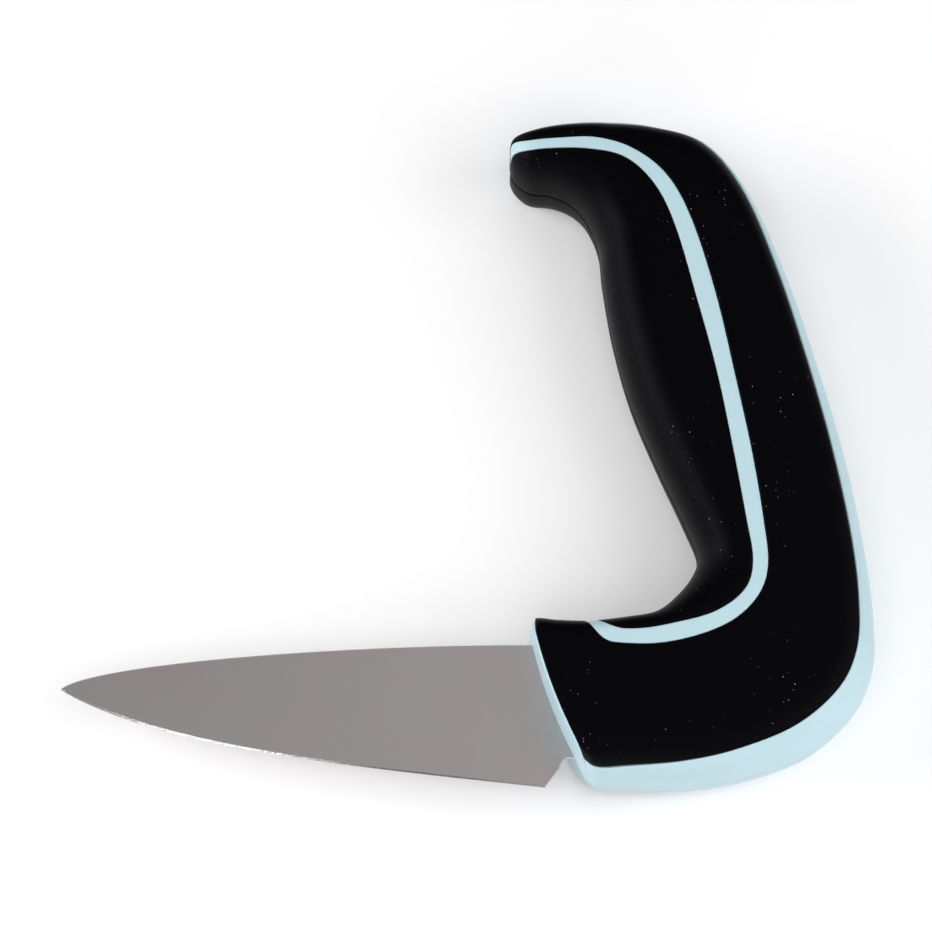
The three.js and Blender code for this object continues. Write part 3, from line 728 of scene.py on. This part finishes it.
def panel_dip(t):
    """Distances of the back columns from the panel's back edge, and how deep the dip is there: a parabola
    over its reach, which is a share of the room between the edges."""
    room = sections(t)[2] - at_station(t, PANEL_EDGE)[..., 0] - band_width(t) - ROLL
    reach = np.clip(DIP_ROOM * room, ROLL, DIP_WIDTH)
    down = ROLL + (reach - ROLL) * np.linspace(1, 0, DIP_COLUMNS)[:-1]
    steps = np.concatenate([down, np.repeat(EDGE_STEPS[None, ::-1], len(t), 0)], 1)
    return steps, DIP * band_opening(t) * reach / DIP_WIDTH * (1 - steps / reach) ** 2


def side_panel(name, mirrored):
    """The skin on the flat side: rolled front edge, columns spread by a power over the side, and the dip to
    the rolled back edge."""
    t_front, s_front, end_gap = panel_front()
    t_in, s_in = t_front[:, -1:], s_front[:, -1:]
    back_steps, back_dip = panel_dip(t_in)
    s_back = panel_back(t_in, back_steps)
    crowd = SEAM_CROWD + (1 - SEAM_CROWD) * np.clip(s_in, 0, 1)
    s_side = s_in + (s_back[:, :1] - s_in) * np.linspace(0, 1, SIDE_COLUMNS)[1:-1] ** crowd
    s = np.concatenate([s_front, s_side, s_back], 1)
    t = np.concatenate([t_front, np.repeat(t_in, s_side.shape[1] + s_back.shape[1], 1)], 1)
    t = set_back(t, s)
    front_gap = np.repeat(EDGE_STEPS[None, :], len(t), 0)
    back_gap = np.maximum(back_steps, ROLL * (1 - band_opening(t_in)))
    gap = np.concatenate([front_gap, np.full(s_side.shape, DIP_WIDTH), back_gap], 1)
    dip = np.concatenate([0 * front_gap, 0 * s_side, back_dip], 1)
    seam = handle_surface(t, s, 0)[..., 2] / SEAM_SPREAD
    skin_mesh(name, t, s, dip + rolled(gap, end_gap, seam), mirrored)


for side, mirrored in SIDES:
    side_panel("side_panel_" + side, mirrored)

# %% [markdown]
# ## The core
# The core shows as a rib between the skins, as a band along the back and base, and as the whole front face
# with its rounded rim. Elsewhere it lies in the beds under the skins. Rib, band and face could be separate
# meshes, but on the real knife each half is one moulding. So one grid over the half handle does it all:
# columns follow the edges of the skins, and the inset says where the core stands up.

# %% Heights of the core
CORE_TOP = 0.1
CORE_BED = 1.1
CORE_ROLL = 0.25
WALL_COLUMNS = 5
WALL_STEPS = CORE_ROLL * (1 - np.cos(np.linspace(0, np.pi / 2, WALL_COLUMNS)))


def core_inset(standing):
    """Inset of the core at a distance inside its raised edges: a quarter circle, or a bed if negative."""
    short = np.clip(CORE_ROLL - standing, 0, CORE_ROLL)
    top = CORE_TOP + CORE_ROLL - np.sqrt(np.clip(CORE_ROLL**2 - short**2, 0, None))
    return np.where(standing < 0, CORE_BED, top)


def parting_groove(t, s):
    """Further inset where the halves meet: a quarter circle in the height above the parting plane."""
    short = np.clip(CORE_ROLL - handle_surface(t, s, CORE_TOP)[..., 2], 0, CORE_ROLL)
    return CORE_ROLL - np.sqrt(CORE_ROLL**2 - short**2)


print("a wall of the core rises", (CORE_BED - core_inset(WALL_STEPS)).round(2), "mm from its bed")

# %% Curves beside the skins
SKIN_GAP = 0.04


def run_on(curve, turned, ahead):
    """An edge curve to the end of its turn, then on along the parting line at the stations ahead."""
    t, s = curve
    return np.concatenate([t[:turned], ahead]), np.concatenate([s[:turned], 0 * ahead])


def band_curve(t, shift):
    """The band's edge: the width less what is left of the band after a shift towards the back."""
    return t, across(t, sections(t)[2] - np.maximum(band_width(t) - shift, 0))


def core_edges():
    """The walls of the core, each a family of curves over its rolled edge: beside the pad, beside the panel
    and along the band. With them comes the number of rows to the end of the pad's turn."""
    ahead = np.linspace(0, 1, FRONT_ROWS)[1:]
    pad = [edge_curve(PAD_EDGE, PAD_END, SKIN_GAP + step, PAD_POWER) for step in WALL_STEPS]
    panel = [edge_curve(PANEL_EDGE, PANEL_TURN_END, -SKIN_GAP - step, PANEL_POWER, ahead)
             for step in WALL_STEPS[::-1]]
    turned = len(pad[0][0])
    t_panel = panel[-1][0]
    pad = [run_on(curve, turned, t_panel[turned:]) for curve in pad]
    panel = [run_on(curve, turned, t_panel[turned:]) for curve in panel]
    band = [band_curve(t_panel, SKIN_GAP + step) for step in WALL_STEPS]
    return pad, panel, band, turned


print("a core half has", len(core_edges()[2][0][0]), "rows down the sweep")

# %% Zones of the core
RIB_COLUMNS = 10
BED_COLUMNS = 14
BAND_COLUMNS = 27
BAND_SHUT = 0.3
IN_BED = -1.0


def between(a, b, share):
    """Curves at shares of the way from curve a to curve b."""
    t = a[0][:, None] + (b[0] - a[0])[:, None] * share
    return t, a[1][:, None] + (b[1] - a[1])[:, None] * share


def core_grid():
    """t, s and standing height over half the core, zone by zone from the front parting line to the back one:
    bed, wall, rib, wall, bed, wall and band. Rib and band sink where they end."""
    pad, panel, band, turned = core_edges()
    t_panel = panel[-1][0]
    rows = len(t_panel)
    past = (np.arange(rows) >= turned)[:, None]
    shut = (band_opening(t_panel) < BAND_SHUT)[:, None]
    front_line = (pad[0][0], 0 * pad[0][1])
    back_line = (t_panel, np.full(rows, float(BACK_LINE)))
    wall = np.repeat(WALL_STEPS[None, :], rows, 0)
    bed_share = np.linspace(0, 1, BED_COLUMNS)
    rib_share = np.linspace(0, 1, RIB_COLUMNS)
    band_share = 1 - (1 - np.linspace(0, 1, BAND_COLUMNS)) ** SEAM_CROWD
    zones = [
        (*between(front_line, pad[0], bed_share**SEAM_CROWD), IN_BED),
        (*stacked(pad), np.where(past, IN_BED, wall)),
        (*between(pad[-1], panel[0], rib_share), np.where(past, IN_BED, CORE_ROLL)),
        (*stacked(panel), np.where(past, IN_BED, wall[:, ::-1])),
        (*between(panel[-1], band[0], bed_share), IN_BED),
        (*stacked(band), np.where(shut, IN_BED, wall)),
        (*between(band[-1], back_line, band_share), np.where(shut, IN_BED, CORE_ROLL)),
    ]
    t = np.concatenate([zone[0] for zone in zones], 1)
    s = np.concatenate([zone[1] for zone in zones], 1)
    standing = np.concatenate([np.broadcast_to(zone[2], zone[0].shape) for zone in zones], 1)
    return set_back(t, s), s, standing


print("a core half's grid:", core_grid()[0].shape)

# %% [markdown]
# ## The front face and the halves
# The front face carries the blade. It stands a little ahead of the skins, with a small rounding, since no
# edge of a moulding is sharp. A bevel modifier could round it, but not tuck it in under the rubber over the
# heel's top. So rows go on from the skins' front edge to the face, round the rim in a quarter circle, and
# then flat to the parting plane.

# %% Core halves
LIP_ROWS = 8
RIM_ROWS = 9
CAP_ROWS = 6
TOP_TUCK = 0.9
RIM_TURN = np.linspace(0, np.pi / 2, RIM_ROWS)[1:, None]


def core_front(t_end, s_end):
    """Rows from the end of the skins on: a wall and a lip up to the last station, a quarter circle over the
    rim along the face's normal, and the face, which shrinks in height to the parting plane."""
    wall_t = t_end + ((SKIN_GAP + WALL_STEPS) / FRONT_STATION_MM)[:, None]
    lip_t = wall_t[-1] + (LAST - wall_t[-1]) * np.linspace(0, 1, LIP_ROWS)[1:, None]
    lip_t = np.minimum(np.concatenate([wall_t, lip_t]), LAST)
    lip_stand = np.concatenate([WALL_STEPS, np.full(LIP_ROWS - 1, CORE_ROLL)])
    last = np.full(s_end.shape, float(LAST))
    sunk = TOP_TUCK * np.clip(1 - s_end / TUCK_END, 0, 1) + parting_groove(last, s_end)
    lip = handle_surface(lip_t, s_end, core_inset(lip_stand)[:, None] + sunk)
    rise = handle_surface(last, s_end, 0)[:, 2] / HALF
    rim = handle_surface(last, s_end, CORE_TOP + sunk + RIM * (1 - np.cos(RIM_TURN)) * rise)
    rim[..., :2] += FRONT_NORMAL * (RIM * np.sin(RIM_TURN) * rise)[..., None]
    flatten = np.ones((CAP_ROWS, 1, 3))
    flatten[:, 0, 2] = np.linspace(1, 0, CAP_ROWS)
    return [lip, rim, (rim[-1] * flatten)[1:]]


def core_half(name, mirrored):
    """Half of the core: the grid over beds, rib and band, sunk by inset and groove, and then the front."""
    t, s, standing = core_grid()
    body = handle_surface(t, s, core_inset(standing) + parting_groove(t, s))
    points = np.concatenate([body, *core_front(t[-1], s[-1])])
    quads = closed_quads(*points.shape[:2])
    make_piece(name, points, quads, [CORE], mirrored=mirrored)


for side, mirrored in SIDES:
    core_half("core_" + side, mirrored)

# %% [markdown]
# ## The blade's outline
# The blade has a curved edge and a spine that falls to the tip. A round notch ends the edge at the heel,
# and behind it the steel runs on into the handle as a tang. The outline could be drawn flat and filled, but
# a filling knows nothing of the grinding. So a lower outline and an upper one have the same number of
# points, and lines ruled between them carry the section.

# %% Sizes of the blade
TIP_HEIGHT = 20.8
SPINE_DROP = 3.85
SPINE_DIP = 0.35
SPINE_STRAIGHT = 35.4
TIP_ROUND = 5.8
EDGE_STRAIGHT = 40.7
EDGE_RISE = 4.6
BELLY_LENGTH = 21.7
BELLY_DEPTH = 12.8
NOTCH_RADIUS = 2.2
NOTCH_TOP = 6.2
NOTCH_FORWARD = 1.1
TANG_HEIGHT = 15
TANG_BACK_MARGIN = 15
TANG_CORNER = 3.75
FRONT_WALL = 9

spine_y = HEEL_HEIGHT - SPINE_DROP
tang_y = (NOTCH_TOP + spine_y) / 2
tip = np.array([-HEEL_SETBACK - BLADE_LENGTH, TIP_HEIGHT])
heel = np.array([-HEEL_SETBACK, 0.0])
spine_root = np.array([-FRONT_RAKE * spine_y / HEEL_HEIGHT, spine_y])
print("blade", BLADE_LENGTH, "mm long,", round(spine_y, 2), "mm high at the handle")

# %% Outlines of the blade
EDGE_POINTS = 220
TIP_CROWD = 1.3
NOTCH_POINTS = 22
HEEL_SHARES = np.array([0, 0.25, 0.4, 0.55, 0.7, 0.85])
NECK_SLANT = 1


def cubic_curve(f, *corners):
    """Cubic through its first and last corners, leaving each towards the corner beside it."""
    f = f[:, None]
    a, b, c, d = [np.asarray(corner) for corner in corners]
    return a * (1 - f)**3 + 3 * b * f * (1 - f)**2 + 3 * c * f**2 * (1 - f) + d * f**3


def edge_and_spine():
    """Two cubics from the tip back, with points closer together at the tip."""
    f = np.linspace(0, 1, EDGE_POINTS) ** TIP_CROWD
    edge_lead = heel + [-EDGE_STRAIGHT, EDGE_RISE]
    spine_lead = spine_root + [-SPINE_STRAIGHT, SPINE_DIP]
    edge = cubic_curve(f, tip, tip + [BELLY_LENGTH, -BELLY_DEPTH], edge_lead, heel)
    spine = cubic_curve(f, tip, tip + [TIP_ROUND, TIP_ROUND], spine_lead, spine_root)
    return edge, spine


def heel_and_notch():
    """From the heel straight to the notch, then a quarter circle to its top. The spine runs level above."""
    centre = np.array([-FRONT_RAKE * NOTCH_TOP / HEEL_HEIGHT - NOTCH_FORWARD, NOTCH_TOP - NOTCH_RADIUS])
    arc = np.linspace(np.pi, np.pi / 2, NOTCH_POINTS)
    notch = centre + NOTCH_RADIUS * np.stack([np.cos(arc), np.sin(arc)], 1)
    below = np.concatenate([heel + (notch[0] - heel) * HEEL_SHARES[:, None], notch])
    above = np.stack([np.linspace(spine_root[0], 0, len(below)), np.full(len(below), spine_y)], 1)
    return below, above


def tang_corners():
    """Corners of the tang: a bar of the tang's height about its middle line, with its end corners cut."""
    low, high = tang_y - TANG_HEIGHT / 2, tang_y + TANG_HEIGHT / 2
    neck = FRONT_WALL - FRONT_RAKE * NOTCH_TOP / HEEL_HEIGHT
    end = BASE_LENGTH - TANG_BACK_MARGIN
    below = [[neck, NOTCH_TOP], [neck, low], [end - TANG_CORNER, low], [end, low + TANG_CORNER]]
    above = [[neck - NECK_SLANT, spine_y], [neck, high], [end - TANG_CORNER, high], [end, high - TANG_CORNER]]
    return below, above


stretches = [edge_and_spine(), heel_and_notch(), tang_corners()]
lower = np.concatenate([below for below, _ in stretches])
upper = np.concatenate([above for _, above in stretches])
sharp = np.arange(len(lower)) < EDGE_POINTS
tang = np.arange(len(lower)) >= EDGE_POINTS + len(stretches[1][0])
room = np.linalg.norm(upper - lower, axis=1)
print(len(lower), "ruled lines, the longest", room.max().round(1), "mm")

# %% [markdown]
# ## The blade's section
# The blade is ground flat from a spine under two millimetres thick to an edge a few tenths thick, which a
# bevel then sharpens. The notch has a small polished chamfer, and the spine's corners are eased. Planes
# could cut a solid to that shape, but the bevel has to follow the curved edge. So the bevel's end is the
# edge moved inwards, and the height above the middle plane is read off one tilted plane.

# %% The bevel
TIP_BEVEL = 0.5
HEEL_BEVEL = 0.3
CHAMFER = 0.12
BEVEL_ROOM = 0.45


def bevel_line():
    """The lower outline moved inwards, square to itself, by the bevel's depth. At the heel's corner it goes
    where the two moved lines cross, from two equations."""
    at_heel = [EDGE_POINTS - 1, EDGE_POINTS]
    way = np.gradient(lower, axis=0)
    way[at_heel] = way[EDGE_POINTS - 2], lower[EDGE_POINTS + 1] - lower[EDGE_POINTS]
    inward = np.stack([-way[:, 1], way[:, 0]], 1) / np.linalg.norm(way, axis=1)[:, None]
    inward[tang] = [0, 1]
    bevel = np.interp(lower[:, 0], [tip[0], heel[0]], [TIP_BEVEL, HEEL_BEVEL])
    depth = np.minimum(np.where(sharp, bevel, CHAMFER), BEVEL_ROOM * room)
    line = lower + inward * depth[:, None]
    line[at_heel] = heel + np.linalg.solve(inward[at_heel], depth[at_heel])
    return line


bevel_end = bevel_line()
print("bevel up to", np.linalg.norm(bevel_end - lower, axis=1).max().round(2), "mm wide")

# %% Ground faces of the blade
SPINE_THICKNESS = 1.8
EDGE_THICKNESS = 0.4
TIP_THICKNESS = 0.5
EDGE_LAND = 0.02
SPINE_EASE = 0.15
EASE_SHARE = 0.4
CHAMFER_SHARE = 0.5
FACE_COLUMNS = 28


def ground_height(points):
    """Half thickness on the plane through the three stated thicknesses, at most that of the spine."""
    corners = np.array([[*spine_root, 1], [*tip, 1], [*heel, 1]])
    plane = np.linalg.solve(corners, np.array([SPINE_THICKNESS, TIP_THICKNESS, EDGE_THICKNESS]) / 2)
    return np.minimum(points @ plane[:2] + plane[2], SPINE_THICKNESS / 2)


def blade_points():
    """Rows of the blade, each from the edge over bevel and ground face to the spine, and back on the other
    side: points ruled between the outlines, with the ground height."""
    ease = np.minimum(SPINE_EASE / np.maximum(room, SPINE_EASE), EASE_SHARE)
    spine_end = upper + (bevel_end - upper) * ease[:, None]
    share = np.linspace(0, 1, FACE_COLUMNS)[None, :, None]
    face = bevel_end[:, None] * (1 - share) + spine_end[:, None] * share
    plan = np.concatenate([lower[:, None], face, upper[:, None]], 1)
    height = ground_height(plan)
    height[tang] = SPINE_THICKNESS / 2
    edge_height, spine_height = height[:, 0].copy(), height[:, -1].copy()
    blunt = np.where(tang, SPINE_THICKNESS / 2, CHAMFER_SHARE * edge_height)
    eased = spine_height - np.minimum(SPINE_EASE, EASE_SHARE * spine_height)
    height[:, 0] = np.where(sharp, EDGE_LAND, blunt)
    height[:, -1] = np.where(tang, spine_height, eased)
    height[0] = EDGE_LAND
    right = np.concatenate([plan, height[..., None]], 2)
    return np.concatenate([right, right[:, ::-1] * OTHER_SIDE], 1)


points = blade_points()
print("half thickness", points[..., 2].max().round(2), "mm at most")

# %% The blade's mesh
CRISP_ANGLE = np.radians(8)

rows, columns = points.shape[:2]
quads = np.concatenate([grid_quads(rows, columns), end_quads(rows - 1, columns)])
column = np.tile(np.arange(columns), rows - 1)
on_bevel = (column == 0) | (column == columns - 2)
honed = np.zeros(len(quads), int)
honed[:len(column)] = np.repeat(sharp[1:], columns) & on_bevel
make_piece("blade", points, quads, [STEEL, HONED], face_finish=honed, sharp=CRISP_ANGLE)

# %% [markdown]
# ## The pins
# Two cross pins of plain steel hold the tang in the handle. They could be rounded off like the rest, but
# they are hidden, so their solids stay as they are and only get the finish.

# %% Pins, hidden in the handle
for name in ("tang_pin_front", "tang_pin_rear"):
    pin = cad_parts[name]
    pin.data.materials.clear()
    pin.data.materials.append(STEEL)
    print(name, "in", STEEL.name)

# %% [markdown]
# ## The table
# The knife lies on a matt white table that runs on into a white background. More light would make it white,
# but would wash out the knife. So the table has a little light of its own, which only the camera and
# reflections see: it shows white and still darkens where the knife shades it. Far out, where the lamps
# don't reach, that light rises to full white.

# %% Table
TABLE_SIZE = 12.0
TABLE_LIFT = 0.11
WHITE_FROM, WHITE_TO = 0.35, 0.9


def white_table():
    """Matt white lacquer. Its own light is a ramp over the distance from the knife, times one for rays from
    the camera, a mirror or glass, and none for others."""
    material, shader, place = new_finish("white_table")
    path = add_node(material, "ShaderNodeLightPath")
    seen = add_node(material, "ShaderNodeMath", {
        0: path.outputs["Is Camera Ray"], 1: path.outputs["Is Glossy Ray"]}, operation="MAXIMUM")
    seen = add_node(material, "ShaderNodeMath", {
        0: seen, 1: path.outputs["Is Transmission Ray"]}, operation="MAXIMUM")
    far = add_node(material, "ShaderNodeVectorMath", {0: place}, operation="LENGTH")
    glow = add_node(material, RAMP, {
        "Value": far, "From Min": WHITE_FROM, "From Max": WHITE_TO, "To Min": TABLE_LIFT})
    lift = add_node(material, "ShaderNodeMath", {0: seen, 1: glow}, operation="MULTIPLY")
    set_inputs(shader, {
        "Base Color": linear("#f2f1f2"), "Roughness": 0.9, "Specular IOR Level": 0.0,
        "Emission Color": (1, 1, 1, 1), "Emission Strength": lift})
    return material


far_edge = TABLE_SIZE / 2
table_corners = np.array([[-1, -1, 0], [1, -1, 0], [1, 1, 0], [-1, 1, 0]]) * far_edge
table_mesh = bpy.data.meshes.new("table")
table_mesh.from_pydata(table_corners.tolist(), [], [(0, 1, 2, 3)])
table_mesh.materials.append(white_table())
table = bpy.data.objects.new("table", table_mesh)
bpy.context.collection.objects.link(table)
print("table", TABLE_SIZE, "m across")

# %% [markdown]
# ## The light
# The picture was taken under soft lights. One from the left and one from the right throw weak shadows. One
# low in front of the cutting edge brightens the handle's base, and one high up fills the top faces. The
# satin blade would show that high lamp as a bright patch, so reflections don't see it. A small lamp near
# the camera and one at the top lift the blade's face. One sky could light it all, but lamps can be set one
# by one.

# %% Lights
WORLD_GREY = 0.18
# Place and size in metres, power in watts.
LIGHTS = {
    "left_light": ((-0.8, 0.1, 0.36), 0.6, 5.8),
    "right_light": ((0.63, -0.15, 0.5), 0.7, 3.8),
    "edge_light": ((0.0, -0.85, 0.3), 1.0, 3.2),
    "high_light": ((0.0, -0.35, 0.95), 0.6, 2.1),
    "camera_light": ((-0.21, -0.2, 0.75), 0.2, 0.35),
    "top_light": ((0.2, 0.25, 1.0), 0.6, 0.45),
}


def soft_light(name, place, size, power):
    """A square soft light that faces the knife: tilted by its angle from the vertical, then swung to its
    compass direction."""
    light = bpy.data.lights.new(name, "AREA")
    light.shape = "SQUARE"
    light.size = size
    light.energy = power
    lamp = bpy.data.objects.new(name, light)
    lamp.location = place
    x, y, z = np.array(place) - AIM
    lamp.rotation_euler = (np.arctan2(np.hypot(x, y), z), 0, np.arctan2(x, -y))
    bpy.context.collection.objects.link(lamp)
    return lamp


lamps = {name: soft_light(name, *settings) for name, settings in LIGHTS.items()}
lamps["high_light"].visible_glossy = False

world = bpy.data.worlds.new("room")
world.use_nodes = True
grey = (WORLD_GREY, WORLD_GREY, WORLD_GREY, 1)
world.node_tree.nodes["Background"].inputs["Color"].default_value = grey
bpy.context.scene.world = world
print("lights:", sorted(lamps))
